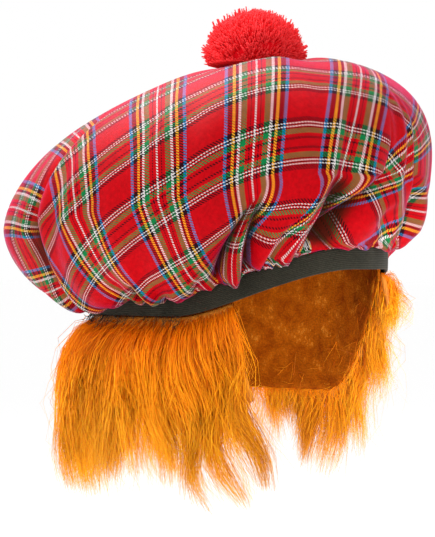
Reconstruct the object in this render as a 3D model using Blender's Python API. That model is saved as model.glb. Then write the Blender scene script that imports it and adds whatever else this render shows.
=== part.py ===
"""A tam o shanter with a hair piece, as it sits on a head.

One round cut of tartan cloth makes the crown. It bulges past the head all round, and its edge is
gathered into a narrow dark band. A wool pompom is sewn on top. A strip of long-haired fur fabric is
sewn inside the band round the sides and the back, and is open over the face.

Metres, +Z up. The face looks along -Y, and the wearer's left is +X. The origin is the middle of the
head opening, at the mean height of the band's lower edge. Angles run round the head in degrees, from
0 over the face towards the wearer's left.
"""

import math

import bmesh
import bpy
import numpy as np
from mathutils.bvhtree import BVHTree

# Head opening and band
HEAD_HALF_WIDTH = 0.078
HEAD_HALF_LENGTH = 0.098
BAND_THICKNESS = 0.0020
BAND_HEIGHT = 0.013
BAND_LOW = -0.0145
FRONT_RISE = 0.0280
RISE_MIDDLE = 6.0
RISE_FLAT = 12.0
RISE_END = 86.0

# Crown of one gathered cloth
CROWN_RADIUS = 0.132
CROWN_HEIGHT = 0.143
CLOTH_THICKNESS = 0.0016
APEX_FORWARD = 0.014
DIMPLE_DEPTH = 0.010
DIMPLE_RADIUS = 0.028
HEM_DEPTH = 0.008
GATHER_HEIGHT = 0.0022
GATHERS_A_FOLD = 3

# Where things happen on the cloth, by level: 0 is the top, 1 the rim and 2 the band's upper edge
TOP_LEVEL = 0.55
LEAN_LEVEL = 0.70
FOLD_START = 0.16
FOLD_FULL = 0.35
GATHER_FADE = 0.22

# A fold's rolled lips, in widths of its slopes
LIP_PLACE = 3.2
LIP_WIDTH = 2.0
LIP_SHARE = 0.16

# Pompom of cut wool
POMPOM_RADIUS = 0.0305
POMPOM_HALF_HEIGHT = 0.0275
POMPOM_RISE = 0.0030
TUFT_HEIGHT = 0.0020
TUFT_UNEVENNESS = 0.30
TUFT_VALLEY = 0.0008

# Hair piece: knitted backing with its long pile outside
BACKING_THICKNESS = 0.0018
BACKING_RISE = 0.0020
BACKING_LENGTH = 0.050
SIDEBURN_LENGTH = 0.006
SIDEBURN_SLOPE = 52.0
HAIR_LEFT_EDGE = 28.0
HAIR_RIGHT_EDGE = 308.0
PILE_LENGTH = 0.096
PILE_PUFF = 0.020
PILE_TIP = 0.0022
COMB_CURVE = 1.4
LOCK_DEPTH = 0.0034
LOCK_DROP = 0.010
LOCK_UNEVENNESS = 0.65
LOCKS = 29

# Sewn layers keep this gap to their neighbours, and the band stands off by twice as much
SEAT_GAP = 0.0003
BAND_GAP = 2 * SEAT_GAP

# Faces of each solid
COLUMNS_A_FOLD = 8
COLUMN_CROWDING = 0.09
TOP_ROWS = 8
SIDE_ROWS = 7
BAND_COLUMNS = 72
BACKING_COLUMNS = 54
COLUMNS_A_LOCK = 4

# The crown's outline by direction. reach is a share of CROWN_RADIUS; rim, top and droop are shares of
# CROWN_HEIGHT: the height of the widest point, of the top, and how far the cloth hangs over the band.
# shoulder and tuck are the fullness of the curve above and below the rim: 2 is an ellipse.
SECTION_COLUMNS = ("angle", "reach", "rim", "top", "shoulder", "tuck", "droop")
SECTIONS = (
    (0.0, 0.920, 0.490, 1.010, 2.60, 1.60, 0.020),
    (45.0, 0.905, 0.480, 1.030, 2.80, 1.60, 0.015),
    (90.0, 0.950, 0.440, 1.000, 2.50, 1.70, 0.015),
    (135.0, 1.000, 0.380, 0.970, 2.20, 1.80, 0.030),
    (180.0, 1.070, 0.300, 0.950, 1.90, 1.80, 0.050),
    (225.0, 1.095, 0.270, 0.940, 1.75, 1.80, 0.065),
    (270.0, 1.030, 0.360, 0.960, 2.00, 1.80, 0.065),
    (315.0, 0.980, 0.460, 1.000, 2.40, 1.60, 0.020),
)

# The crown's folds, in order round the head. band and rim are the angles where a fold leaves the band
# and crosses the rim. depth is a share of CROWN_RADIUS. reach is how far up it runs: 1 is the rim.
# before and after are the widths of its two slopes, as shares of the way to the next fold.
FOLD_COLUMNS = ("band", "rim", "depth", "reach", "before", "after")
FOLDS = (
    (18.0, 12.0, 0.085, 1.25, 0.16, 0.10),
    (50.0, 46.0, 0.070, 0.95, 0.14, 0.16),
    (80.0, 80.0, 0.085, 1.10, 0.12, 0.14),
    (112.0, 113.0, 0.060, 0.90, 0.14, 0.12),
    (143.0, 146.0, 0.090, 1.15, 0.12, 0.14),
    (174.0, 178.0, 0.065, 0.85, 0.14, 0.12),
    (207.0, 213.0, 0.085, 1.10, 0.12, 0.12),
    (238.0, 250.0, 0.140, 1.50, 0.13, 0.05),
    (272.0, 280.0, 0.030, 0.55, 0.12, 0.12),
    (303.0, 321.0, 0.100, 0.95, 0.09, 0.10),
    (319.0, 337.0, 0.050, 0.70, 0.14, 0.12),
    (336.0, 358.0, 0.130, 1.25, 0.10, 0.16),
)

# The pile round the head. length is a share of PILE_LENGTH, below the level part of the band. comb is
# how far the tips are combed round, in degrees. puff is a share of PILE_PUFF.
HAIR_COLUMNS = ("angle", "length", "comb", "puff")
HAIR = (
    (HAIR_LEFT_EDGE, 0.04, -2.0, 0.42),
    (38.0, 0.14, 0.0, 0.52),
    (48.0, 0.30, 0.0, 0.60),
    (58.0, 0.52, 1.0, 0.70),
    (70.0, 0.80, 2.5, 0.80),
    (82.0, 0.93, 1.0, 0.85),
    (94.0, 0.82, -2.0, 0.85),
    (104.0, 0.66, -1.0, 0.80),
    (116.0, 0.82, 1.0, 0.85),
    (135.0, 0.98, 1.0, 1.00),
    (180.0, 1.00, 0.0, 1.00),
    (225.0, 0.99, -2.0, 1.15),
    (262.0, 1.02, 2.0, 1.05),
    (290.0, 0.98, 10.0, 0.90),
    (HAIR_RIGHT_EDGE, 0.80, 19.0, 0.60),
)

# The pile's outer face from the band down, and its inner face back up. Each row holds the share of the
# way down, how much of the full puff is reached there, and how far the locks stand out, as a share of
# LOCK_DEPTH.
PILE_OUTSIDE = (
    (0.00, 0.12, 0.0),
    (0.07, 0.45, 0.5),
    (0.20, 0.72, 0.8),
    (0.42, 0.92, 1.0),
    (0.70, 1.00, 1.3),
    (0.90, 0.92, 1.6),
)
PILE_INSIDE = (
    (1.00, 0.80, 0.0),
    (0.90, 0.55, 0.0),
    (0.70, 0.10, 0.0),
    (0.42, 0.00, 0.0),
    (0.20, 0.00, 0.0),
    (0.00, 0.00, 0.0),
)


def smooth_step(share):
    """0 below 0, 1 above 1, and an S curve between."""
    held = np.clip(share, 0.0, 1.0)
    return held * held * (3.0 - 2.0 * held)


def column(rows, names, name):
    return np.array([row[names.index(name)] for row in rows])


def section_value(name, angle):
    """One column of SECTIONS at any angle, on a closed smooth curve through its rows."""
    angles = column(SECTIONS, SECTION_COLUMNS, "angle")
    values = column(SECTIONS, SECTION_COLUMNS, name)
    step = 360.0 / len(angles)
    place = np.mod(angle, 360.0) / step
    first = np.floor(place).astype(int) % len(angles)
    part = place - np.floor(place)
    before, here, after, beyond = (values[(first + k) % len(angles)] for k in (-1, 0, 1, 2))
    return here + 0.5 * part * (
        after - before
        + part * (2 * before - 5 * here + 4 * after - beyond + part * (3 * (here - after) + beyond - before))
    )


def fold_angle(name, place):
    """The angle of a fold column at a place counted in folds, straight between neighbouring folds."""
    angles = column(FOLDS, FOLD_COLUMNS, name)
    count = len(angles)
    closed = np.append(angles, angles[0] + 360.0)
    turn = np.floor(place / count)
    return np.interp(place - turn * count, np.arange(count + 1), closed) + 360.0 * turn


def outward(angle):
    """The horizontal direction of an angle, as two arrays."""
    turn = np.radians(angle)
    return np.sin(turn), -np.cos(turn)


def opening_radius(angle, offset):
    """How far the head opening's oval lies from the middle, offset outwards by a wall or a gap."""
    across, along = outward(angle)
    wide = HEAD_HALF_WIDTH + offset
    long = HEAD_HALF_LENGTH + offset
    return 1.0 / np.sqrt((across / wide) ** 2 + (along / long) ** 2)


def band_low(angle):
    """The height of the band's lower edge: level round the back, and higher over the forehead."""
    off_middle = np.abs(np.mod(angle - RISE_MIDDLE + 180.0, 360.0) - 180.0)
    return BAND_LOW + FRONT_RISE * smooth_step((RISE_END - off_middle) / (RISE_END - RISE_FLAT))


def oval(across, up, turn, power):
    """A point of a quarter superellipse, seen from its centre at an angle of turn from the up axis."""
    sine, cosine = np.sin(turn), np.cos(turn)
    size = ((sine / across) ** power + (cosine / up) ** power) ** (-1.0 / power)
    return size * sine, size * cosine


def crown_shape(place, level):
    """Points of the smooth crown. level is 0 at the top, 1 at the rim, and 2 just outside the band."""
    at_band = smooth_step((level - LEAN_LEVEL) / (2 - LEAN_LEVEL))
    angle = fold_angle("rim", place) * (1 - at_band) + fold_angle("band", place) * at_band
    reach = CROWN_RADIUS * section_value("reach", angle)
    rim = CROWN_HEIGHT * section_value("rim", angle)
    clear = opening_radius(angle, BAND_THICKNESS + BAND_GAP)
    over_band = band_low(angle) + BAND_HEIGHT + BAND_GAP

    above = np.clip(level, 0.0, 1.0) * math.pi / 2
    side_top = section_value("top", angle)
    top = CROWN_HEIGHT * (1 + (side_top - 1) * smooth_step(level / TOP_LEVEL))
    out, up = oval(reach, top - rim, above, section_value("shoulder", angle))
    dimple = DIMPLE_DEPTH * np.exp(-((out / DIMPLE_RADIUS) ** 2))
    top_height = rim + up - dimple

    below = np.clip(level - 1.0, 0.0, 1.0) * math.pi / 2
    down, in_from_rim = oval(rim - over_band, reach - clear, below, section_value("tuck", angle))
    share_out = np.sqrt(in_from_rim / (reach - clear))
    hang = CROWN_HEIGHT * section_value("droop", angle) * np.sin(math.pi * share_out)
    under_height = rim - down - hang

    on_top = level <= 1.0
    radius = np.where(on_top, out, clear + in_from_rim)
    height = np.where(on_top, top_height, under_height)
    forward = APEX_FORWARD * np.cos(above) * on_top
    across, along = outward(angle)
    return np.stack([radius * across, radius * along - forward, height], axis=-1)


def fold_depth(place, level):
    """How far the folds press the cloth in: each has a crease with a slope on either side."""
    depths = CROWN_RADIUS * column(FOLDS, FOLD_COLUMNS, "depth")
    reaches = column(FOLDS, FOLD_COLUMNS, "reach")
    before = column(FOLDS, FOLD_COLUMNS, "before")
    after = column(FOLDS, FOLD_COLUMNS, "after")
    count = len(depths)
    up_from_band = 2.0 - level
    pressed = np.zeros(np.broadcast(place, level).shape)
    for i in range(count):
        off = np.mod(place - i + count / 2, count) - count / 2
        slope = np.where(off < 0, before[i], after[i])
        starts = smooth_step(up_from_band / FOLD_START)
        full = FOLD_FULL * reaches[i]
        fades = 1 - smooth_step((up_from_band - full) / (reaches[i] - full))
        crease = np.exp(-np.abs(off) / slope)
        lip = np.exp(-(((np.abs(off) / slope - LIP_PLACE) / LIP_WIDTH) ** 2))
        pressed += depths[i] * starts * fades * (crease - LIP_SHARE * lip)
    return pressed


def gather_lift(place, level):
    """Small gathers that stand on the band's edge and die away up the cloth."""
    off_band = np.clip(2.0 - level, 0.0, None)
    wave = 0.5 - 0.5 * np.cos(2 * math.pi * GATHERS_A_FOLD * place)
    return GATHER_HEIGHT * wave * np.exp(-off_band / GATHER_FADE)


def crown_points(columns_a_fold, top_rows, side_rows):
    """The crown's outer face as a grid: rows from the top down to the hem, columns round the head.

    The columns crowd towards the folds, where the cloth turns most.
    """
    count = len(FOLDS) * columns_a_fold
    step = np.arange(count) / columns_a_fold
    place = step - COLUMN_CROWDING * np.sin(2 * math.pi * step)
    levels = np.concatenate(
        [np.arange(1, top_rows + 1) / top_rows, 1 + np.arange(1, side_rows + 1) / side_rows]
    )
    grid = crown_shape(place[None, :], levels[:, None])
    across = np.roll(grid, -1, axis=1) - np.roll(grid, 1, axis=1)
    down = np.gradient(grid, axis=0)
    normal = np.cross(down, across)
    normal /= np.linalg.norm(normal, axis=-1, keepdims=True)
    pressed = fold_depth(place[None, :], levels[:, None])
    ruffled = gather_lift(place[None, :], levels[:, None])
    grid = grid - normal * pressed[..., None]
    grid[..., 2] += ruffled

    angle = fold_angle("band", place)
    sine, cosine = outward(angle)
    seam = opening_radius(angle, -SEAT_GAP)
    seam_top = band_low(angle) + BAND_HEIGHT + BAND_GAP
    hem = [
        np.stack([seam * sine, seam * cosine, height], axis=-1)
        for height in (seam_top + BAND_GAP, seam_top - HEM_DEPTH)
    ]
    return np.concatenate([grid, np.stack(hem)])


def material(name, colour, roughness):
    made = bpy.data.materials.new(name)
    made.use_nodes = True
    shader = made.node_tree.nodes["Principled BSDF"]
    shader.inputs["Base Color"].default_value = (*colour, 1.0)
    shader.inputs["Roughness"].default_value = roughness
    shader.inputs["Metallic"].default_value = 0.0
    return made


def add_object(name, mesh, finish):
    made = bpy.data.objects.new(name, mesh)
    bpy.context.scene.collection.objects.link(made)
    mesh.materials.append(finish)
    mesh.shade_smooth()
    return made


def swept_mesh(name, loops, closed):
    """A solid from closed loops of points set one after another, capped at its ends if it is open."""
    shape = bmesh.new()
    rings = [[shape.verts.new(point) for point in loop] for loop in loops]
    spans = list(zip(rings, rings[1:], strict=False))
    if closed:
        spans.append((rings[-1], rings[0]))
    for ring, following in spans:
        for i in range(len(ring)):
            j = (i + 1) % len(ring)
            shape.faces.new((ring[i], ring[j], following[j], following[i]))
    if not closed:
        shape.faces.new(rings[0])
        shape.faces.new(rings[-1])
    bmesh.ops.recalc_face_normals(shape, faces=shape.faces)
    mesh = bpy.data.meshes.new(name)
    shape.to_mesh(mesh)
    shape.free()
    return mesh


def make_crown(finish):
    """The gathered cloth: its outer face is worked out, and Solidify gives it the cloth's thickness."""
    grid = crown_points(COLUMNS_A_FOLD, TOP_ROWS, SIDE_ROWS)
    rows, columns = grid.shape[:2]
    apex = np.array([[0.0, -APEX_FORWARD, CROWN_HEIGHT - DIMPLE_DEPTH]])
    points = np.concatenate([apex, grid.reshape(-1, 3)])
    faces = []
    for j in range(columns):
        beside = (j + 1) % columns
        faces.append((0, 1 + j, 1 + beside))
        for i in range(rows - 1):
            upper, lower = 1 + i * columns, 1 + (i + 1) * columns
            faces.append((upper + j, lower + j, lower + beside, upper + beside))
    mesh = bpy.data.meshes.new("crown")
    mesh.from_pydata(points.tolist(), [], faces)
    crown = add_object("crown", mesh, finish)
    wall = crown.modifiers.new("cloth", "SOLIDIFY")
    wall.thickness = CLOTH_THICKNESS
    wall.offset = -1.0
    return crown


def make_band(finish):
    """A flat woven strip bound round the cloth's raw edge."""
    angle = np.arange(BAND_COLUMNS) * 360.0 / BAND_COLUMNS
    sine, cosine = outward(angle)
    low = band_low(angle)
    corners = (
        (0.0, 0.0),
        (BAND_THICKNESS, 0.0),
        (BAND_THICKNESS, BAND_HEIGHT),
        (0.0, BAND_HEIGHT),
    )
    loops = []
    for offset, height in corners:
        radius = opening_radius(angle, offset)
        loops.append(np.stack([radius * sine, radius * cosine, low + height], axis=-1))
    return add_object("band", swept_mesh("band", np.stack(loops, axis=1), True), finish)


def backing_low(angle):
    """The height of the backing's lower edge: full length round the back, cut away to a sideburn."""
    inside_edge = np.minimum(angle - HAIR_LEFT_EDGE, HAIR_RIGHT_EDGE - angle)
    share = smooth_step(inside_edge / SIDEBURN_SLOPE)
    edge = band_low(angle) - SIDEBURN_LENGTH
    full = BAND_LOW - BACKING_LENGTH
    return edge + (full - edge) * share


def make_backing(finish):
    """The fur fabric's knitted ground: a curved wall, sewn inside the band, with a level top edge."""
    angle = np.linspace(HAIR_LEFT_EDGE, HAIR_RIGHT_EDGE, BACKING_COLUMNS)
    sine, cosine = outward(angle)
    top = BAND_LOW + FRONT_RISE + BACKING_RISE
    low = backing_low(angle)
    corners = ((0.0, 1.0), (0.0, 0.5), (0.0, 0.0), (1.0, 0.0), (1.0, 0.5), (1.0, 1.0))
    loops = []
    for inward, share in corners:
        radius = opening_radius(angle, -CLOTH_THICKNESS - BAND_GAP - inward * BACKING_THICKNESS)
        loops.append(np.stack([radius * sine, radius * cosine, low + (top - low) * share], axis=-1))
    return add_object("hair_backing", swept_mesh("hair_backing", np.stack(loops, axis=1), False), finish)


def hair_value(name, angle):
    """One column of HAIR at any angle between its edges."""
    return np.interp(angle, column(HAIR, HAIR_COLUMNS, "angle"), column(HAIR, HAIR_COLUMNS, name))


def lock_unevenness(lock):
    """A fixed up and down from lock to lock, between -1 and 1: two sines that don't keep step."""
    return 0.55 * np.sin(2.4 * lock + 0.7) + 0.45 * np.sin(5.1 * lock + 2.1)


def make_pile(finish):
    """The long pile: pointed locks side by side, fused to a skin that lies against the backing."""
    columns = LOCKS * COLUMNS_A_LOCK
    place = np.arange(columns + 1) / COLUMNS_A_LOCK
    root = HAIR_LEFT_EDGE + (HAIR_RIGHT_EDGE - HAIR_LEFT_EDGE) * place / LOCKS
    crest = np.abs(np.sin(math.pi * place))
    uneven = lock_unevenness(np.floor(place))

    skin = -CLOTH_THICKNESS - SEAT_GAP
    top = band_low(root) - BAND_GAP
    tip = BAND_LOW - PILE_LENGTH * hair_value("length", root)
    tip = tip - LOCK_DROP * crest * (1 + LOCK_UNEVENNESS * uneven)
    comb = hair_value("comb", root)
    full_puff = PILE_PUFF * hair_value("puff", root)

    loops = []
    for rows, wall in ((PILE_OUTSIDE, PILE_TIP), (PILE_INSIDE[:1], PILE_TIP), (PILE_INSIDE, 0.0)):
        for share, puff, stand in rows:
            angle = root + comb * share**COMB_CURVE
            swell = full_puff * puff + LOCK_DEPTH * stand * (crest - 0.5)
            radius = opening_radius(angle, skin + wall + swell)
            sine, cosine = outward(angle)
            loops.append(np.stack([radius * sine, radius * cosine, top + (tip - top) * share], axis=-1))
    return add_object("hair_pile", swept_mesh("hair_pile", np.stack(loops, axis=1), False), finish)


def make_pompom(crown, finish):
    """A wool ball in tufts, flattened where it is sewn down into the crown's dimple."""
    shape = bmesh.new()
    bmesh.ops.create_icosphere(shape, subdivisions=3, radius=1.0)
    tips = len(shape.verts)
    bmesh.ops.subdivide_edges(shape, edges=shape.edges[:], cuts=1, use_grid_fill=True)
    shape.verts.ensure_lookup_table()
    centre = (0.0, -APEX_FORWARD, CROWN_HEIGHT + POMPOM_RISE)
    bpy.context.view_layer.update()
    under = BVHTree.FromObject(crown, bpy.context.evaluated_depsgraph_get())
    above_all = 10 * CROWN_HEIGHT
    for i, vert in enumerate(shape.verts):
        direction = vert.co.normalized()
        uneven = 1 + TUFT_UNEVENNESS * math.sin(7.3 * i)
        stand = TUFT_HEIGHT * uneven if i < tips else -TUFT_VALLEY
        vert.co.x = centre[0] + direction.x * (POMPOM_RADIUS + stand)
        vert.co.y = centre[1] + direction.y * (POMPOM_RADIUS + stand)
        vert.co.z = centre[2] + direction.z * (POMPOM_HALF_HEIGHT + stand)
        hit = under.ray_cast((vert.co.x, vert.co.y, above_all), (0.0, 0.0, -1.0))[0]
        if hit is not None:
            vert.co.z = max(vert.co.z, hit.z + BAND_GAP)
    bmesh.ops.recalc_face_normals(shape, faces=shape.faces)
    mesh = bpy.data.meshes.new("pompom")
    shape.to_mesh(mesh)
    shape.free()
    return add_object("pompom", mesh, finish)


def main():
    for old in list(bpy.data.objects):
        bpy.data.objects.remove(old)
    crown = make_crown(material("tartan_cloth", (0.62, 0.01, 0.03), 0.75))
    make_band(material("dark_binding", (0.045, 0.045, 0.035), 0.85))
    make_backing(material("knitted_backing", (0.30, 0.11, 0.02), 0.95))
    make_pile(material("ginger_pile", (0.80, 0.33, 0.02), 0.60))
    make_pompom(crown, material("red_wool", (0.80, 0.03, 0.03), 0.90))


main()
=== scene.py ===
"""The looks of a tartan tam o shanter with a pompom and a ginger hair piece.

Metres, +Z up, the face along -Y, the wearer's left +X. Angles run round the head in degrees, from 0
over the face towards the wearer's left. The pieces are made in the order in which the hat is sewn.
"""

import math

import bpy
import numpy as np
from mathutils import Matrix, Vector


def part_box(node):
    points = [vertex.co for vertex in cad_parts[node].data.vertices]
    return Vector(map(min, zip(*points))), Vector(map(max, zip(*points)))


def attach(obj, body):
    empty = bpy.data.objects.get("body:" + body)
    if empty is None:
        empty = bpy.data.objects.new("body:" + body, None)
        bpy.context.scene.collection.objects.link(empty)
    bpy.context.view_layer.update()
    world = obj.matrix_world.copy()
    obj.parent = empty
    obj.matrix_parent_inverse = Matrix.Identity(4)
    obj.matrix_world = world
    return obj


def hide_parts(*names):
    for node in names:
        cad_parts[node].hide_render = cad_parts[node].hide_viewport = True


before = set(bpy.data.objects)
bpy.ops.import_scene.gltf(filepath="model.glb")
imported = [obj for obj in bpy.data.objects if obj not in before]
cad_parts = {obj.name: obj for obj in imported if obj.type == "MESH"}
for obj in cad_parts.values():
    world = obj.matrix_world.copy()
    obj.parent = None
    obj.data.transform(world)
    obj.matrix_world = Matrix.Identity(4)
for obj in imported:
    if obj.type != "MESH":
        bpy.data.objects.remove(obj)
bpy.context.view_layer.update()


# Band
# A narrow strip of dark ribbed binding folded over the cloth's raw edge. It is level round the back and
# rises over the forehead. Its lower edge has come a little undone at the back, in short pulled threads.
band_low_corner, band_high_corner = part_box("band")
BAND_THICKNESS = 0.0020
BAND_HEIGHT = 0.013
HEAD_HALF_WIDTH = band_high_corner.x - BAND_THICKNESS
HEAD_HALF_LENGTH = band_high_corner.y - BAND_THICKNESS
BAND_LOW = band_low_corner.z
FRONT_RISE = band_high_corner.z - band_low_corner.z - BAND_HEIGHT
RISE_MIDDLE = 6.0
RISE_FLAT = 12.0
RISE_END = 86.0
BAND_COLUMNS = 360
BAND_BULGE = 0.00025
BAND_PUCKER = 0.00045
BAND_RIB = 0.0011
BAND_TONES = ((36, 35, 27), (60, 58, 48))
EDGE_CORNERS = ((0.14, 0.028), (0.50, 0.045), (0.86, 0.028))
PULLED_THREADS = 90
THREADS_FROM = 185.0
THREADS_TO = 285.0
THREAD_START = 0.0006
THREAD_BEND = 0.6
THREAD_SPREAD = 1.1
THREAD_POINTS = 8
THREAD_RADIUS = 0.00016


def smooth_step(share):
    """0 below 0, 1 above 1, and an S curve between."""
    held = np.clip(share, 0.0, 1.0)
    return held * held * (3.0 - 2.0 * held)


def outward(angle):
    """The horizontal direction of an angle: its sine along +X and its cosine along -Y."""
    turn = np.radians(angle)
    return np.sin(turn), -np.cos(turn)


def opening_radius(angle, offset):
    """An ellipse's radius at an angle, with both half axes grown by the offset."""
    across, along = outward(angle)
    wide = HEAD_HALF_WIDTH + offset
    long = HEAD_HALF_LENGTH + offset
    return 1.0 / np.sqrt((across / wide) ** 2 + (along / long) ** 2)


def around(angle, radius, height):
    """Points round the head: the outward direction of each angle times its radius, at its height."""
    across, along = outward(angle)
    return np.stack([radius * across, radius * along, height], axis=-1)


def band_low(angle):
    """Level round the back, with an S curve up to FRONT_RISE over the forehead."""
    off_middle = np.abs(np.mod(angle - RISE_MIDDLE + 180.0, 360.0) - 180.0)
    return BAND_LOW + FRONT_RISE * smooth_step((RISE_END - off_middle) / (RISE_END - RISE_FLAT))


def mesh_piece(name, points, quads, triangles=None):
    """A smooth-shaded mesh object from whole arrays of points, four-sided and three-sided faces."""
    if triangles is None:
        triangles = np.zeros((0, 3), int)
    mesh = bpy.data.meshes.new(name)
    mesh.vertices.add(len(points))
    mesh.vertices.foreach_set("co", np.ascontiguousarray(points, np.float32).ravel())
    corners = np.concatenate([quads.ravel(), triangles.ravel()]).astype(np.int32)
    starts = np.concatenate([np.arange(len(quads)) * 4, len(quads) * 4 + np.arange(len(triangles)) * 3])
    mesh.loops.add(len(corners))
    mesh.loops.foreach_set("vertex_index", corners)
    mesh.polygons.add(len(starts))
    mesh.polygons.foreach_set("loop_start", starts.astype(np.int32))
    mesh.update(calc_edges=True)
    mesh.validate()
    mesh.shade_smooth()
    piece = bpy.data.objects.new(name, mesh)
    bpy.context.scene.collection.objects.link(piece)
    return piece


def grid_quads(rows, columns, wrap_rows=False, wrap_columns=True):
    """Corner numbers of a grid's faces, running down, then across, on points counted row by row."""
    i = np.arange(rows if wrap_rows else rows - 1)[:, None]
    j = np.arange(columns if wrap_columns else columns - 1)[None, :]
    below, beside = (i + 1) % rows, (j + 1) % columns
    corners = (i * columns + j, below * columns + j, below * columns + beside, i * columns + beside)
    return np.stack([np.broadcast_to(c, (i.size, j.size)) for c in corners], axis=-1).reshape(-1, 4)


def closing_fans(rows, columns):
    """Triangles that close a grid's first and last row onto the two points that follow its own."""
    j = np.arange(columns)
    beside = (j + 1) % columns
    first, last = rows * columns, (rows - 1) * columns
    return np.concatenate([
        np.stack([np.full(columns, first), j, beside], axis=-1),
        np.stack([last + j, np.full(columns, first + 1), last + beside], axis=-1),
    ])


def set_uv(piece, name, uv):
    """A UV map from one pair of numbers for each face corner, in the mesh's own order."""
    layer = piece.data.uv_layers.new(name=name)
    layer.data.foreach_set("uv", np.ascontiguousarray(uv, np.float32).ravel())


def new_material(name, constants):
    """A function that adds nodes to a new material whose Principled shader has the given constants, and one
    that joins a colour and a height for the bump to that shader and gives the material."""
    made = bpy.data.materials.new(name)
    made.use_nodes = True
    tree = made.node_tree
    shader = tree.nodes["Principled BSDF"]
    for key, value in constants.items():
        shader.inputs[key].default_value = value

    def add(kind, inputs=None, **settings):
        node = tree.nodes.new(kind)
        for key, value in settings.items():
            setattr(node, key, value)
        for key, value in (inputs or {}).items():
            if isinstance(value, bpy.types.NodeSocket):
                tree.links.new(value, node.inputs[key])
            else:
                node.inputs[key].default_value = value
        return node

    def finish(base, height=None, strength=1.0, distance=1.0):
        tree.links.new(base, shader.inputs["Base Color"])
        if height is not None:
            bump = add("ShaderNodeBump", {"Strength": strength, "Distance": distance, "Height": height})
            tree.links.new(bump.outputs[0], shader.inputs["Normal"])
        return made

    return add, finish


def calc(add, operation, *values):
    """The result of one arithmetic node."""
    return add("ShaderNodeMath", dict(enumerate(values)), operation=operation).outputs[0]


def rescale(add, value, low, high, new_low, new_high):
    """A value from one range carried over to another, and held inside it."""
    return add("ShaderNodeMapRange", dict(enumerate((value, low, high, new_low, new_high)))).outputs[0]


def noise(add, place, scale, detail=2.0, roughness=0.5):
    """Cloudy noise between 0 and 1, read at a place."""
    inputs = {"Vector": place, "Scale": scale, "Detail": detail, "Roughness": roughness}
    return add("ShaderNodeTexNoise", inputs).outputs[0]


def blend(add, share, first, second, kind="MIX"):
    """A colour on the way from the first to the second, or towards their product if the kind is MULTIPLY."""
    inputs = {0: share, 6: first, 7: second}
    return add("ShaderNodeMix", inputs, data_type="RGBA", blend_type=kind).outputs[2]


def ramp(add, value, stops, interpolation="LINEAR"):
    """A colour read off a row of stops, each a place from 0 to 1 and a colour."""
    made = add("ShaderNodeValToRGB", {0: value})
    made.color_ramp.interpolation = interpolation
    for i, (place, tone) in enumerate(stops):
        stop = made.color_ramp.elements[i] if i < 2 else made.color_ramp.elements.new(place)
        stop.position = place
        stop.color = tone
    return made.outputs[0]


def object_place(add):
    """The place on the piece in its own coordinates."""
    return add("ShaderNodeTexCoord").outputs["Object"]


def map_parts(add, name):
    """The two numbers of a UV map, as outputs X and Y."""
    return add("ShaderNodeSeparateXYZ", {0: add("ShaderNodeUVMap", uv_map=name).outputs["UV"]}).outputs


def colour(red, green, blue):
    """A colour seen on a screen, 0 to 255, as the linear colour that a shader takes."""
    screen = np.array([red, green, blue]) / 255.0
    low = screen / 12.92
    high = ((screen + 0.055) / 1.055) ** 2.4
    return (*np.where(screen <= 0.04045, low, high).tolist(), 1.0)


def tube_frames(paths):
    """Two directions square to each path at each of its points, from its slope and a fixed direction."""
    slope = np.gradient(paths, axis=1)
    slope /= np.linalg.norm(slope, axis=-1, keepdims=True) + 1e-12
    other = np.where(np.abs(slope[:, :1, 2:3]) > 0.8, [[[1.0, 0.0, 0.0]]], [[[0.0, 0.0, 1.0]]])
    side = np.cross(slope, other)
    side /= np.linalg.norm(side, axis=-1, keepdims=True) + 1e-12
    return side, np.cross(slope, side)


def tube_piece(name, paths, radii, sides, tint):
    """Closed thin tubes along many paths. Their UV map OFBake holds the tint across and the way along up."""
    tubes, rings = paths.shape[:2]
    side, up = tube_frames(paths)
    turn = np.arange(sides) * 2 * math.pi / sides
    ring = side[:, :, None] * np.cos(turn)[:, None] + up[:, :, None] * np.sin(turn)[:, None]
    points = paths[:, :, None] + ring * radii[:, :, None, None]
    number = np.arange(tubes * rings * sides).reshape(tubes, rings, sides)
    beside = np.roll(number, -1, axis=2)
    quads = np.stack([number[:, :-1], beside[:, :-1], beside[:, 1:], number[:, 1:]], axis=-1).reshape(-1, 4)
    ends = []
    for k in range(1, sides - 1):
        ends.append(np.stack([number[:, 0, 0], number[:, 0, k + 1], number[:, 0, k]], axis=-1))
        ends.append(np.stack([number[:, -1, 0], number[:, -1, k], number[:, -1, k + 1]], axis=-1))
    triangles = np.concatenate(ends)
    piece = mesh_piece(name, points.reshape(-1, 3), quads, triangles)
    corners = np.concatenate([quads.ravel(), triangles.ravel()])
    tube = corners // (rings * sides)
    along = (corners // sides) % rings / (rings - 1)
    around_tube = (corners % sides) / sides
    place = np.stack([tint[tube], along], axis=-1)
    set_uv(piece, "OFBake", place * 0.97 + around_tube[:, None] * 0.02)
    return piece


def walk(rng, start, heading, step, bend, spread, limits, points):
    """Paths of short steps over the head's oval, from an angle, height and offset. Each turns by a random
    angle at each step, moves outwards by a random part of spread steps, and keeps between two angles."""
    angle, height, out = start
    rows = []
    for _ in range(points):
        radius = opening_radius(angle, out)
        rows.append(around(angle, radius, height))
        heading = heading + rng.normal(0, bend, len(heading))
        angle = np.clip(angle + np.degrees(step * np.cos(heading) / radius), *limits)
        height = height + step * np.sin(heading)
        out = out + spread * step * rng.uniform(0, 1, len(heading))
    return np.stack(rows, axis=1)


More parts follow.
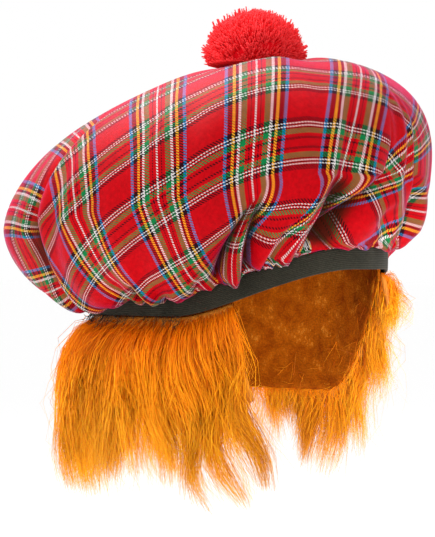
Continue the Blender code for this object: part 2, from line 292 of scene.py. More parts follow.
def make_band():
    """The strip's section runs round a slim rounded oblong, swept round the ellipse of the head. Its UV map
    strip holds the share of the way round and the height over the band's lower edge."""
    angle = np.arange(BAND_COLUMNS) * 360.0 / BAND_COLUMNS
    turn = np.radians(angle)
    pucker = np.sin(37 * turn + 1.0) + 0.6 * np.sin(61 * turn) + 0.5 * np.sin(23 * turn + 2.0)
    pucker = pucker * BAND_PUCKER
    edge = np.linspace(0.0, 1.0, 7)
    section = [(1.0, up) for up in edge]
    section += [(across, 1.0 + over) for across, over in EDGE_CORNERS[::-1]]
    section += [(0.0, up) for up in edge[::-1]]
    section += [(across, -over) for across, over in EDGE_CORNERS]
    rows = []
    for across, up in section:
        bulge = BAND_BULGE * math.sin(math.pi * min(max(up, 0.0), 1.0)) * (1.0 if across > 0.5 else 0.0)
        radius = opening_radius(angle, across * BAND_THICKNESS + bulge + 0.4 * pucker * across * up)
        height = band_low(angle) + BAND_HEIGHT * (0.02 + 0.96 * up) + 0.8 * pucker * max(up, 0.0) ** 2
        rows.append(around(angle, radius, height))
    points = np.stack(rows).reshape(-1, 3)
    quads = grid_quads(len(rows), BAND_COLUMNS, wrap_rows=True)
    piece = mesh_piece("band_binding", points, quads)
    share = np.arctan2(points[:, 0], points[:, 1]) / (2 * math.pi)
    over_edge = points[:, 2] - band_low(np.degrees(np.arctan2(points[:, 0], -points[:, 1])))
    set_uv(piece, "strip", np.stack([share, over_edge], axis=-1)[quads.ravel()])
    return piece


def make_pulled_threads(seed):
    """Short ends of thread that walk down and out from the band's lower edge."""
    rng = np.random.default_rng(seed)
    angle = rng.uniform(THREADS_FROM, THREADS_TO, PULLED_THREADS)
    start = (angle, band_low(angle) + THREAD_START, rng.uniform(0.3, 1.0, PULLED_THREADS) * BAND_THICKNESS)
    heading = rng.normal(-math.pi / 2, 0.7, PULLED_THREADS)
    step = rng.uniform(0.0006, 0.0020, PULLED_THREADS)
    paths = walk(rng, start, heading, step, THREAD_BEND, THREAD_SPREAD, (0.0, 360.0), THREAD_POINTS)
    radii = np.full(paths.shape[:2], THREAD_RADIUS)
    return tube_piece("band_pulled_threads", paths, radii, 3, rng.uniform(0.2, 0.9, PULLED_THREADS))


def band_material():
    """Fine ribs that follow the strip, from its own height map, with lint and faded patches."""
    add, finish = new_material(
        "dark_ribbed_binding", {"Roughness": 0.82, "Specular IOR Level": 0.10, "Sheen Weight": 0.05}
    )
    place = object_place(add)
    wave = calc(add, "SINE", calc(add, "MULTIPLY", map_parts(add, "strip")["Y"], 2 * math.pi / BAND_RIB))
    lint = noise(add, place, 900.0, 3.0, 0.7)
    shade = blend(add, noise(add, place, 60.0, 4.0), *(colour(*tone) for tone in BAND_TONES))
    ribbed = rescale(add, wave, -1.0, 1.0, 0.62, 1.0)
    lit = rescale(add, lint, 0.35, 0.75, 0.75, 1.45)
    toned = blend(add, 1.0, shade, calc(add, "MULTIPLY", ribbed, lit), "MULTIPLY")
    return finish(toned, calc(add, "ADD", wave, lint), 0.55, 0.00025)


band = make_band()
pulled_threads = make_pulled_threads(4)
ribbed = band_material()
for piece in (band, pulled_threads):
    piece.data.materials.append(ribbed)
    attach(piece, "root")
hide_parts("band")


# Crown
# One round cut of twill tartan, about half a metre across, gathered into the band. It puffs past the head
# all round, droops at the back, and its fullness falls into leaning folds. The warp runs down the near side.
CROWN_RADIUS = 0.132
CROWN_HEIGHT = 0.143
CLOTH_THICKNESS = 0.0012
HEM_THICKNESS = 0.0016
SEAT_GAP = 0.0003
BAND_GAP = 2 * SEAT_GAP
APEX_FORWARD = 0.014
DIMPLE_DEPTH = 0.010
DIMPLE_RADIUS = 0.028
HEM_DEPTH = 0.008
GATHER_HEIGHT = 0.0030
LONG_WAVE_HEIGHT = 0.0010
TOP_LEVEL = 0.55
LEAN_LEVEL = 0.70
FOLD_START = 0.16
FOLD_FULL = 0.35
LIP_PLACE = 3.2
LIP_WIDTH = 2.0
LIP_SHARE = 0.16
PATTERN_PLACE = 8.707
PATTERN_LEAN = 14.5
WARP_SHIFT = 0.0311
WEFT_SHIFT = 0.0105
SKEW_PLACE = -0.027
SKEW_BEND = 0.020
SKEW_BEFORE = 0.03
SKEW_AFTER = 0.36
COLUMNS_A_FOLD = 34
COLUMN_CROWDING = 0.115
TOP_ROWS = 52
SIDE_ROWS = 62
# Painted shade in the folds: it starts at one pressed depth, is full at the next, and goes a share of the
# way to SHADE_TONE
SHADE_START = 0.0022
SHADE_FULL = 0.0086
SHADE_SHARE = 0.87

SECTION_COLUMNS = ("angle", "reach", "rim", "top", "shoulder", "tuck", "droop")
SECTIONS = (
    (0.0, 0.920, 0.490, 1.010, 2.60, 1.60, 0.020),
    (45.0, 0.905, 0.480, 1.030, 2.80, 1.60, 0.015),
    (90.0, 0.950, 0.440, 1.000, 2.50, 1.70, 0.015),
    (135.0, 1.000, 0.380, 0.970, 2.20, 1.80, 0.030),
    (180.0, 1.070, 0.300, 0.950, 1.90, 1.80, 0.050),
    (225.0, 1.095, 0.270, 0.940, 1.75, 1.80, 0.065),
    (270.0, 1.030, 0.360, 0.960, 2.00, 1.80, 0.065),
    (315.0, 0.980, 0.460, 1.000, 2.40, 1.60, 0.020),
)

# inside_rim and inside_band are the degrees of flat cloth that a fold takes out of sight there
FOLD_COLUMNS = ("band", "rim", "depth", "reach", "before", "after", "inside_rim", "inside_band")
FOLDS = (
    (18.0, 12.0, 0.085, 1.25, 0.16, 0.10, 8.0, 12.0),
    (50.0, 46.0, 0.070, 0.95, 0.14, 0.16, 0.0, 9.0),
    (80.0, 80.0, 0.085, 1.10, 0.12, 0.14, 5.0, 10.0),
    (112.0, 113.0, 0.060, 0.90, 0.14, 0.12, 0.0, 9.0),
    (143.0, 146.0, 0.090, 1.15, 0.12, 0.14, 6.0, 10.0),
    (174.0, 178.0, 0.065, 0.85, 0.14, 0.12, 0.0, 9.0),
    (207.0, 213.0, 0.085, 1.10, 0.12, 0.12, 5.0, 10.0),
    (238.0, 250.0, 0.140, 1.50, 0.13, 0.05, 16.0, 20.0),
    (272.0, 280.0, 0.030, 0.55, 0.12, 0.12, 0.0, 0.0),
    (303.0, 321.0, 0.100, 0.95, 0.09, 0.10, 0.0, 3.0),
    (319.0, 337.0, 0.050, 0.70, 0.14, 0.12, 0.0, 3.0),
    (336.0, 358.0, 0.130, 1.25, 0.10, 0.16, 12.0, 14.0),
)


def column(rows, names, name):
    """One named column of a table, as an array."""
    return np.array([row[names.index(name)] for row in rows])


def section_value(name, angle):
    """One column of SECTIONS at any angle, on a closed smooth curve through its rows."""
    angles = column(SECTIONS, SECTION_COLUMNS, "angle")
    values = column(SECTIONS, SECTION_COLUMNS, name)
    step = 360.0 / len(angles)
    place = np.mod(angle, 360.0) / step
    first = np.floor(place).astype(int) % len(angles)
    part = place - np.floor(place)
    before, here, after, beyond = (values[(first + k) % len(angles)] for k in (-1, 0, 1, 2))
    return here + 0.5 * part * (
        after - before
        + part * (2 * before - 5 * here + 4 * after - beyond + part * (3 * (here - after) + beyond - before))
    )


def fold_angle(name, place):
    """The angle of a fold column at a place counted in folds, on a smooth curve through the folds."""
    angles = column(FOLDS, FOLD_COLUMNS, name)
    count = len(angles)
    closed = np.append(angles, angles[0] + 360.0)
    turn = np.floor(place / count)
    return np.interp(place - turn * count, np.arange(count + 1), closed) + 360.0 * turn


def oval(across, up, turn, power):
    """A point of a quarter superellipse, seen from its centre at an angle of turn from the up axis."""
    sine, cosine = np.sin(turn), np.cos(turn)
    size = ((sine / across) ** power + (cosine / up) ** power) ** (-1.0 / power)
    return size * sine, size * cosine


def crown_shape(place, level):
    """The smooth crown: a superellipse from the top (level 0) out to the rim (1), and one back in to the
    band (2), with its sizes read round the head from SECTIONS."""
    at_band = smooth_step((level - LEAN_LEVEL) / (2 - LEAN_LEVEL))
    angle = fold_angle("rim", place) * (1 - at_band) + fold_angle("band", place) * at_band
    reach = CROWN_RADIUS * section_value("reach", angle)
    rim = CROWN_HEIGHT * section_value("rim", angle)
    clear = opening_radius(angle, BAND_THICKNESS + BAND_GAP)
    over_band = band_low(angle) + BAND_HEIGHT + BAND_GAP

    above = np.clip(level, 0.0, 1.0) * math.pi / 2
    side_top = section_value("top", angle)
    top = CROWN_HEIGHT * (1 + (side_top - 1) * smooth_step(level / TOP_LEVEL))
    out, up = oval(reach, top - rim, above, section_value("shoulder", angle))
    top_height = rim + up - DIMPLE_DEPTH * np.exp(-((out / DIMPLE_RADIUS) ** 2))

    below = np.clip(level - 1.0, 0.0, 1.0) * math.pi / 2
    down, in_from_rim = oval(rim - over_band, reach - clear, below, section_value("tuck", angle))
    share_out = np.sqrt(in_from_rim / (reach - clear))
    hang = CROWN_HEIGHT * section_value("droop", angle) * np.sin(math.pi * share_out)

    on_top = level <= 1.0
    radius = np.where(on_top, out, clear + in_from_rim)
    height = np.where(on_top, top_height, rim - down - hang)
    forward = APEX_FORWARD * np.cos(above) * on_top
    across, along = outward(angle)
    return np.stack([radius * across, radius * along - forward, height], axis=-1)


def fold_depth(place, level):
    """Each fold presses in by an exponential crease with a rolled lip on each side, and fades upwards."""
    count = len(FOLDS)
    up_from_band = 2.0 - level
    pressed = np.zeros(np.broadcast(place, level).shape)
    for i, (_, _, depth, reach, before, after, _, _) in enumerate(FOLDS):
        off = np.mod(place - i + count / 2, count) - count / 2
        steps = np.abs(off) / np.where(off < 0, before, after)
        full = FOLD_FULL * reach
        fades = 1 - smooth_step((up_from_band - full) / (reach - full))
        lip = np.exp(-(((steps - LIP_PLACE) / LIP_WIDTH) ** 2))
        pressed += CROWN_RADIUS * depth * fades * (np.exp(-steps) - LIP_SHARE * lip)
    return pressed * smooth_step(up_from_band / FOLD_START)


# Small pleats on the near side. Columns: place in folds round the head, depth in metres, reach up the cloth
# in levels, width of the slope in folds, and lean in folds for each level climbed.
NEAR_PLEATS = (
    (8.30, 0.0030, 0.42, 0.060, 0.25),
    (8.72, 0.0036, 0.36, 0.050, 0.20),
    (9.69, 0.0120, 0.95, 0.100, -0.75),
    (9.95, 0.0040, 0.50, 0.080, -0.20),
    (10.25, 0.0045, 0.62, 0.080, -0.30),
    (10.55, 0.0050, 0.50, 0.080, -0.30),
    (10.96, 0.0160, 1.15, 0.140, -0.68),
    (11.40, 0.0050, 0.55, 0.090, 0.25),
    (11.62, 0.0052, 0.45, 0.060, 0.10),
)
OTHER_PLEATS = 42
PLEAT_DEPTH = 0.0042
PLEAT_LIP_SHARE = 0.30
PLEAT_SEED = 21


def pleats(place, level):
    """Small creases that rise from the band and fade at their own height. Each is an exponential ridge
    turned inwards. The near ones are in the table, and the others come from a seeded draw."""
    rng = np.random.default_rng(PLEAT_SEED)
    count = len(FOLDS)
    rows = list(NEAR_PLEATS)
    for middle in rng.uniform(-0.4, 8.1, OTHER_PLEATS):
        depth, reach = PLEAT_DEPTH * rng.uniform(0.35, 1.2), rng.uniform(0.18, 0.60)
        rows.append((middle, depth, reach, rng.uniform(0.045, 0.08), rng.normal(0, 0.2)))
    up_from_band = np.clip(2.0 - level, 0.0, None)
    total = np.zeros(np.broadcast(place, level).shape)
    for middle, depth, reach, width, lean in rows:
        off = np.mod(place - middle - lean * up_from_band + count / 2, count) - count / 2
        fades = smooth_step(up_from_band / 0.05) * (1 - smooth_step((up_from_band / reach - 0.5) / 0.5))
        steps = np.abs(off) / width
        crease = np.exp(-(steps**2) / (0.5 + steps))
        lip = np.exp(-(((steps - LIP_PLACE) / LIP_WIDTH) ** 2))
        total += depth * fades * (crease - PLEAT_LIP_SHARE * lip)
    return total


def fine_folds(place, level):
    """Gathers that stand on the band and die away upwards, and long soft ripples higher up. The gathers are
    a sine in a warped angle, sharpened by a power, so that no two are the same width."""
    count = len(FOLDS)
    turn = 2 * math.pi * place / count
    up_from_band = np.clip(2.0 - level, 0.0, None)
    warped = turn + 0.030 * np.sin(7 * turn + 1.0) + 0.018 * np.sin(13 * turn)
    warped = warped + 0.05 * up_from_band * np.sin(3 * turn)
    gather = np.abs(np.sin(33 * warped)) ** 0.8
    strength = 0.55 + 0.45 * np.sin(11 * turn + 0.6) * np.sin(5 * turn + 2.0)
    near_band = np.exp(-((up_from_band / 0.20) ** 1.3)) * smooth_step(up_from_band / 0.02)
    gathers = -GATHER_HEIGHT * gather * strength * near_band
    ripples = (
        0.0011 * np.sin(19 * warped + 2.5 * level)
        + 0.0009 * np.sin(27 * warped - 3.0 * level + 1.0)
        + 0.0007 * np.sin(9 * turn + 7.0 * level)
    )
    below_top = smooth_step((level - 0.55) / 0.6) * smooth_step(up_from_band / 0.1)
    long_waves = LONG_WAVE_HEIGHT * np.sin(5 * turn + 4.0 * level + 0.8)
    long_waves = long_waves * smooth_step(level / 0.4) * smooth_step(up_from_band / 0.2)
    return gathers + ripples * below_top + long_waves


def flat_angles(outer, levels, radius):
    """The angle on the flat round cloth at the two sides of each column of faces, in radians.

    Along a row it grows with the cloth's own length over the flat radius, and each fold adds what is tucked
    inside it. What is still short of a full turn is spread evenly, as the small gathers take it up. The
    columns lean down the cloth, and the pattern doesn't lean with them.
    """
    count = outer.shape[1]
    lengths = np.linalg.norm(np.roll(outer, -1, axis=1) - outer, axis=-1) / radius[:, None]
    reached = np.concatenate([np.zeros((len(outer), 1)), np.cumsum(lengths, axis=1)], axis=1)
    inside = np.zeros(reached.shape)
    for i, (_, _, _, reach, _, _, at_rim, at_band) in enumerate(FOLDS):
        starts = (levels - 2.0 + reach) / (reach - 0.9) if reach > 0.95 else 0.0 * levels
        grown = at_rim * smooth_step(starts) + (at_band - at_rim) * smooth_step(levels - 1.0)
        inside[:, i * COLUMNS_A_FOLD + 1:] += np.radians(grown)[:, None]
    near = int(round(PATTERN_PLACE * COLUMNS_A_FOLD))
    total = reached[:, -1:] + inside[:, -1:]
    share = 2 * math.pi / total
    # The tuck of a column's own fold is passed on its right side only
    right = (reached[:, 1:] + inside[:, 1:]) * share
    left = (reached[:, :-1] + inside[:, 1:]) * share
    leaned = math.radians(PATTERN_LEAN) * smooth_step((levels - LEAN_LEVEL) / (2 - LEAN_LEVEL))
    middle = left[:, near:near + 1] + leaned[:, None]
    return left - middle, right - middle


def cloth_place(angle, length):
    """A place on the flat cloth, across the warp and along it. The weft is a little skewed, as soft twill
    is, with one slope on either side of a smooth bend."""
    across = length * np.sin(angle) + WARP_SHIFT
    off = across - SKEW_PLACE
    skew = (SKEW_AFTER + SKEW_BEFORE) / 2 * off + (SKEW_AFTER - SKEW_BEFORE) / 2 * np.hypot(off, SKEW_BEND)
    return np.stack([across, length * np.cos(angle) + WEFT_SHIFT + skew], axis=-1)


def set_sided_uv(piece, name, left, right, top, bottom):
    """A UV map on the crown from its values at the left and the right side of each column of faces, row by
    row, and at the middles of the two fans that close it."""
    quads = np.stack([left[:-1], left[1:], right[1:], right[:-1]], axis=2).reshape(-1, 2)
    caps = np.concatenate([
        np.stack([top, left[0], right[0]], axis=1),
        np.stack([left[-1], bottom, right[-1]], axis=1),
    ])
    set_uv(piece, name, np.concatenate([quads, caps.reshape(-1, 2)]))


def surface_normals(grid):
    """Unit normals of a grid of rows downwards and columns round the head, pointing outwards."""
    across = np.roll(grid, -1, axis=1) - np.roll(grid, 1, axis=1)
    normal = np.cross(np.gradient(grid, axis=0), across)
    return normal / (np.linalg.norm(normal, axis=-1, keepdims=True) + 1e-12)


def make_crown():
    """A grid of rows from the top down and columns round the head. The inner face is the outer one moved in
    along its normals by the cloth's thickness, and the hem joins the two."""
    count = len(FOLDS) * COLUMNS_A_FOLD
    step = np.arange(count) / COLUMNS_A_FOLD
    place = step - COLUMN_CROWDING * np.sin(2 * math.pi * step)
    place = np.where(np.abs(place - np.round(place)) < 1e-6, np.round(place), place)
    top_levels = np.arange(1, TOP_ROWS + 1) / TOP_ROWS
    levels = np.concatenate([top_levels, 1 + np.arange(1, SIDE_ROWS + 1) / SIDE_ROWS])
    across, down = place[None, :], levels[:, None]
    smooth = crown_shape(across, down)
    normal = surface_normals(smooth)
    pressed = fold_depth(across, down)
    pleated = pleats(across, down)
    unpleated = smooth + normal * (fine_folds(across, down) - pressed)[..., None]
    outer = unpleated - normal * pleated[..., None]
    # The depth pressed in by folds and pleats sets a painted shade, deepest in the creases
    deep = (pressed + pleated - SHADE_START) / (SHADE_FULL - SHADE_START)
    shade = smooth_step(deep) * smooth_step((down - 0.8) / 0.4)

    angle = fold_angle("band", place)
    seam = opening_radius(angle, -SEAT_GAP)
    seam_top = band_low(angle) + BAND_HEIGHT + BAND_GAP
    hem_drops = (-1.5 * BAND_GAP, 0.0, 0.4 * HEM_DEPTH, HEM_DEPTH)
    hem = np.stack([around(angle, seam, seam_top - drop) for drop in hem_drops])
    outer = np.concatenate([outer, hem])
    unpleated = np.concatenate([unpleated, hem])

    inner = outer - surface_normals(outer) * CLOTH_THICKNESS
    inner_radius = opening_radius(angle, -SEAT_GAP - HEM_THICKNESS)
    for k, drop in zip(range(-len(hem_drops), 0), hem_drops, strict=True):
        inner[k] = around(angle, inner_radius, seam_top - drop + 0.001)
    inner[-1, :, 2] = outer[-1, :, 2]
    kept = np.concatenate([np.arange(0, len(levels), 2), np.arange(len(levels), len(outer))])[::-1]
    order = np.concatenate([np.arange(len(outer)), kept])

    grid = np.concatenate([outer, inner[kept]])
    rows = len(grid)
    apex = np.array([0.0, -APEX_FORWARD, CROWN_HEIGHT - DIMPLE_DEPTH])
    points = np.concatenate([grid.reshape(-1, 3), [apex, apex - [0, 0, CLOTH_THICKNESS]]])
    piece = mesh_piece("crown_cloth", points, grid_quads(rows, count), closing_fans(rows, count))

    # Flat cloth: the way out along the smooth surface is the radius on the flat circle
    steps = np.diff(np.concatenate([np.broadcast_to(apex, (1, count, 3)), smooth]), axis=0)
    radius = np.cumsum(np.linalg.norm(steps, axis=-1), axis=0)
    radius = np.concatenate([radius, radius[-1] + np.array(hem_drops)[:, None] + 2 * BAND_GAP])
    level_rows = np.concatenate([levels, np.full(len(hem_drops), 2.0)])
    angle_left, angle_right = flat_angles(unpleated, level_rows, radius.mean(axis=1))
    left = cloth_place(angle_left, radius)[order]
    right = cloth_place(angle_right, np.roll(radius, -1, axis=1))[order]
    centre = np.broadcast_to(cloth_place(0.0, 0.0), (count, 2))
    set_sided_uv(piece, "cloth", left, right, centre, centre)

    # The UV map crease carries that painted shade of the folds
    shade = np.concatenate([shade, np.repeat(shade[-1:], len(hem_drops), axis=0)])[order]
    left = np.stack([shade, shade], axis=-1)
    nothing = np.zeros((count, 2))
    set_sided_uv(piece, "crease", left, np.roll(left, -1, axis=1), nothing, nothing)

    share = np.arange(count) / count
    left = np.stack(np.broadcast_arrays(share[None, :], np.linspace(0.01, 0.99, rows)[:, None]), axis=-1)
    top = np.stack([share + 0.5 / count, nothing[:, 0]], axis=-1)
    set_sided_uv(piece, "OFBake", left, left + [1 / count, 0.0], top, top + [0.0, 1.0])
    return piece


# Half a repeat of each thread order, from the middle of the broad red: width in millimetres and colour
RED = colour(182, 0, 11)
MAROON = colour(40, 4, 14)
BLACK = colour(10, 8, 10)
BLUE = colour(0, 114, 172)
YELLOW = colour(228, 164, 34)
WHITE = colour(208, 203, 202)
GREEN = colour(10, 114, 60)
# The dark colour of the painted shade in the folds
SHADE_TONE = colour(40, 24, 10)
WARP_ORDER = (
    (11.6, RED), (1.9, BLUE), (2.9, MAROON), (1.7, YELLOW), (1.8, BLACK), (1.6, WHITE), (3.3, GREEN),
    (2.0, RED), (0.7, MAROON), (1.8, RED), (0.7, WHITE),
)
WEFT_ORDER = (
    (9.7, RED), (3.2, MAROON), (0.9, WHITE), (1.2, BLACK), (0.9, WHITE), (1.1, MAROON), (3.3, GREEN),
    (1.9, RED), (1.5, MAROON), (2.3, RED),
)
YARN_PITCH = 0.00044


def thread_colours(add, distance, order):
    """The colour of the thread at a distance across the cloth: mirrored repeats read from a stepped ramp."""
    widths = np.array([width for width, _ in order])
    half = widths.sum() / 1000.0
    folded = calc(add, "PINGPONG", calc(add, "MULTIPLY", distance, float(1.0 / half)), 1.0)
    starts = ((np.cumsum(widths) - widths) / widths.sum()).tolist()
    return ramp(add, folded, zip(starts, (tone for _, tone in order), strict=True), "CONSTANT")


def tartan_material():
    """A twill: over two threads and under two, one step on at each thread, with each thread's own roundness.
    The UV map crease holds a painted shade that darkens the depth of the folds."""
    add, finish = new_material("tartan_twill", {
        "Roughness": 0.55, "Specular IOR Level": 0.05,
        "Sheen Weight": 0.38, "Sheen Roughness": 0.28, "Sheen Tint": colour(255, 96, 190),
    })
    place = object_place(add)
    cloth = map_parts(add, "cloth")
    counts, bows = [], []
    for axis in ("X", "Y"):
        threads = calc(add, "MULTIPLY", cloth[axis], 1.0 / YARN_PITCH)
        counts.append(calc(add, "FLOOR", threads))
        within = calc(add, "FRACT", threads)
        bows.append(calc(add, "MULTIPLY", within, calc(add, "SUBTRACT", 1.0, within)))
    turn = calc(add, "FLOORED_MODULO", calc(add, "SUBTRACT", *counts), 4.0)
    over = calc(add, "LESS_THAN", turn, 1.5)
    warp = thread_colours(add, cloth["X"], WARP_ORDER)
    weft = thread_colours(add, cloth["Y"], WEFT_ORDER)
    woven = blend(add, over, weft, warp)

    fine = rescale(add, noise(add, place, 420.0, 3.0, 0.6), 0.3, 0.7, 0.80, 1.14)
    broad = rescale(add, noise(add, place, 22.0, 3.0), 0.3, 0.7, 0.90, 1.08)
    bow = add("ShaderNodeMix", {0: over, 2: bows[1], 3: bows[0]}, data_type="FLOAT").outputs[0]
    # Painted shade where each thread rounds away, darker in the gaps between threads
    painted_gap_shade = rescale(add, bow, 0.02, 0.16, 0.72, 1.08)
    tone = calc(add, "MULTIPLY", calc(add, "MULTIPLY", fine, broad), painted_gap_shade)
    toned = blend(add, 1.0, woven, tone, "MULTIPLY")
    # Painted shade in the depth of the folds, read from the UV map crease
    painted_crease_shade = calc(add, "MULTIPLY", map_parts(add, "crease")["X"], SHADE_SHARE)
    return finish(blend(add, painted_crease_shade, toned, SHADE_TONE), bow, 0.5, 0.00035)


crown = make_crown()
crown.data.materials.append(tartan_material())
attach(crown, "root")
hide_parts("crown")


# Pompom
# Bunches of red wool ends, tied low in the middle and trimmed to a ball. The ends have opened a little, and
# the ball is pressed flat where it is sewn down into the crown's dimple.
POMPOM_RADIUS = 0.0308
POMPOM_HALF_HEIGHT = 0.0280
POMPOM_CENTRE = np.array([0.0, -APEX_FORWARD, CROWN_HEIGHT + 0.0030])
POMPOM_CORE = 0.86
POMPOM_TIE = 0.35
POMPOM_SWELL = 0.0022
YARN_BUNCHES = 1100
BUNCH_BEND = 0.0042
BUNCH_SPREAD = 0.080
FIBRES_A_BUNCH = 6
YARN_BEND = 0.0009
YARN_RADIUS = 0.00044
FUZZ_FIBRES = 1000
FUZZ_BEND = 0.0022
FUZZ_RADIUS = 0.00013


def even_directions(count):
    """Directions spread evenly over a sphere, each turned on by the golden angle."""
    k = np.arange(count) + 0.5
    height = 1 - 2 * k / count
    turn = k * math.pi * (3 - math.sqrt(5))
    flat = np.sqrt(1 - height**2)
    return np.stack([flat * np.cos(turn), flat * np.sin(turn), height], axis=-1)


def crown_top_height(points):
    """The height of the crown's dimple under a point near its top, from the dimple's own bell curve."""
    out = np.hypot(points[..., 0], points[..., 1] + APEX_FORWARD)
    return CROWN_HEIGHT - DIMPLE_DEPTH * np.exp(-((out / DIMPLE_RADIUS) ** 2)) - 0.06 * out**2 / CROWN_RADIUS


def make_ball():
    """A flattened ball in rows from pole to pole, with its underside lifted to the crown, coloured dark as
    painted shade between the yarn ends.
    """
    rows, columns = 22, 40
    down = np.linspace(0.0, math.pi, rows + 2)[1:-1, None]
    turn = np.arange(columns)[None, :] * 2 * math.pi / columns
    across = np.sin(down)
    ball = np.stack([across * np.cos(turn), across * np.sin(turn), np.cos(down) + 0 * turn], axis=-1)
    size = POMPOM_CORE * np.array([POMPOM_RADIUS, POMPOM_RADIUS, POMPOM_HALF_HEIGHT])
    grid = POMPOM_CENTRE + ball * size
    poles = POMPOM_CENTRE + np.array([[0, 0, 1.0], [0, 0, -1.0]]) * size
    points = np.concatenate([grid.reshape(-1, 3), poles])
    points[:, 2] = np.maximum(points[:, 2], crown_top_height(points) + 0.0008)
    quads, caps = grid_quads(rows, columns), closing_fans(rows, columns)
    piece = mesh_piece("pompom_middle", points, quads, caps)
    corners = np.concatenate([quads.ravel(), caps.ravel()])
    # The middle takes the dark root colour: painted shade in the gaps between the yarn ends
    tint, along = 0.3 + 0.0004 * (corners % 97), 0.05 + 0.0004 * (corners % 89)
    set_uv(piece, "OFBake", np.stack([tint, along], axis=-1))
    return piece


def make_pompom(seed):
    """Bunches of fibres fan out from the tie, low in the ball, to an uneven ball. Each bunch bends as one
    and spreads at its tip."""
    rng = np.random.default_rng(seed)
    size = np.array([POMPOM_RADIUS, POMPOM_RADIUS, POMPOM_HALF_HEIGHT])
    tie = POMPOM_CENTRE - [0, 0, POMPOM_TIE * POMPOM_HALF_HEIGHT]

    def fan(directions, reach, starts, rings, bend):
        along = np.linspace(starts, 1.0, rings)[None, :, None]
        tips = POMPOM_CENTRE + directions * size * reach[:, None]
        sideways = bend - directions * (bend * directions).sum(axis=-1, keepdims=True)
        paths = tie + (tips - tie)[:, None] * along + sideways[:, None] * along**2
        paths = paths + directions[:, None] * np.sin(math.pi * along) * POMPOM_SWELL
        paths[..., 2] = np.maximum(paths[..., 2], crown_top_height(paths) + 0.0010)
        return paths

    bunch = even_directions(YARN_BUNCHES) + rng.normal(0, 0.05, (YARN_BUNCHES, 3))
    bunch = bunch[bunch[:, 2] > -0.80]
    count = len(bunch)
    right, back, up = bunch.T
    tuft = np.sin(5.3 * right + 3 * up + 0.5) * np.sin(5.1 * back - 3 * up + 1.0)
    bunch_reach = 0.965 + 0.022 * tuft + rng.normal(0, 0.012, count)
    bunch_bend = rng.normal(0, BUNCH_BEND, (count, 3))
    pick = np.repeat(np.arange(count), FIBRES_A_BUNCH)
    direction = bunch[pick] + rng.normal(0, BUNCH_SPREAD, (len(pick), 3))
    direction /= np.linalg.norm(direction, axis=-1, keepdims=True)
    reach = bunch_reach[pick] + rng.normal(0, 0.014, len(pick))
    bend = bunch_bend[pick] + rng.normal(0, YARN_BEND, (len(pick), 3))
    paths = fan(direction, reach, 0.45, 4, bend)
    radii = YARN_RADIUS * rng.uniform(0.75, 1.2, (len(pick), 1)) * np.array([0.9, 1.1, 1.2, 0.95])
    # Tint is partly random and partly painted light: tufts that reach further out are lighter
    tint = 0.5 + 0.20 * tuft[pick] + rng.normal(0, 0.16, count)[pick] + rng.normal(0, 0.08, len(pick))
    yarn = tube_piece("pompom_yarn", paths, radii, 3, np.clip(tint, 0, 1))

    direction = even_directions(FUZZ_FIBRES) + rng.normal(0, 0.12, (FUZZ_FIBRES, 3))
    direction /= np.linalg.norm(direction, axis=-1, keepdims=True)
    bend = rng.normal(0, FUZZ_BEND, (FUZZ_FIBRES, 3))
    paths = fan(direction, rng.uniform(0.97, 1.08, FUZZ_FIBRES), 0.80, 4, bend)
    radii = np.broadcast_to(FUZZ_RADIUS * np.array([1.2, 1.0, 0.8, 0.3]), (FUZZ_FIBRES, 4))
    fuzz = tube_piece("pompom_fuzz", paths, radii, 3, rng.uniform(0.3, 1.0, FUZZ_FIBRES))
    return yarn, fuzz


def fibre_material(name, root, middle, tip, dark_dye_and_shade, light_dye_and_light, roughness):
    """A colour from root to tip, with painted shade at the roots and painted light at the tips, shifted
    between a dark and a light end by each strand's tint.
    """
    add, finish = new_material(name, {
        "Roughness": roughness, "Specular IOR Level": 0.15,
        "Sheen Weight": 0.05, "Sheen Roughness": 0.4, "Sheen Tint": middle,
    })
    strand = map_parts(add, "OFBake")
    # Painted shade at the roots among the fibres, and painted light through the tips
    along = ramp(add, strand["Y"], ((0.0, root), (0.5, middle), (1.0, tip)))
    return finish(blend(add, 1.0, along, blend(add, strand["X"], dark_dye_and_shade, light_dye_and_light), "MULTIPLY"))


pompom_middle = make_ball()
yarn, fuzz = make_pompom(11)
wool = fibre_material(
    "red_wool_yarn", colour(226, 0, 26), colour(252, 26, 38), colour(255, 62, 66),
    (0.86, 0.60, 0.60, 1.0), (1.08, 1.30, 1.30, 1.0), 0.85,
)
for piece in (pompom_middle, yarn, fuzz):
    piece.data.materials.append(wool)
    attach(piece, "root")
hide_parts("pompom")


# Hair backing
# The fur fabric's knitted ground: a strip inside the band, from one temple round the back to the other,
# cut away in a slope towards the face. Its wrong side shows brown, with ends of pile pulled through.
BACKING_THICKNESS = 0.0018
BACKING_RISE = 0.0020
BACKING_LENGTH = 0.050
SIDEBURN_LENGTH = 0.006
SIDEBURN_SLOPE = 52.0
HAIR_LEFT_EDGE = 28.0
HAIR_RIGHT_EDGE = 308.0
BACKING_COLUMNS = 170
BACKING_ROWS = 26
BACKING_DENTS = (0.0009, 0.0006)


def backing_low(angle):
    """Full length round the back, with an S curve up to the short front edges."""
    inside_edge = np.minimum(angle - HAIR_LEFT_EDGE, HAIR_RIGHT_EDGE - angle)
    share = smooth_step(inside_edge / SIDEBURN_SLOPE)
    edge = band_low(angle) - SIDEBURN_LENGTH
    return edge + (BAND_LOW - BACKING_LENGTH - edge) * share


def wall_piece(name, rows):
    """A closed wall from rows of points down its outer face and up its inner face, with both ends closed."""
    grid = np.stack(rows)
    count, columns = grid.shape[:2]
    number = np.arange(count * columns).reshape(count, columns)
    out, back = number[:count // 2], number[count // 2:][::-1]
    quads = np.concatenate([
        grid_quads(count, columns, wrap_rows=True, wrap_columns=False),
        np.stack([out[:-1, 0], back[:-1, 0], back[1:, 0], out[1:, 0]], axis=-1),
        np.stack([out[1:, -1], back[1:, -1], back[:-1, -1], out[:-1, -1]], axis=-1),
    ])
    return mesh_piece(name, grid.reshape(-1, 3), quads)


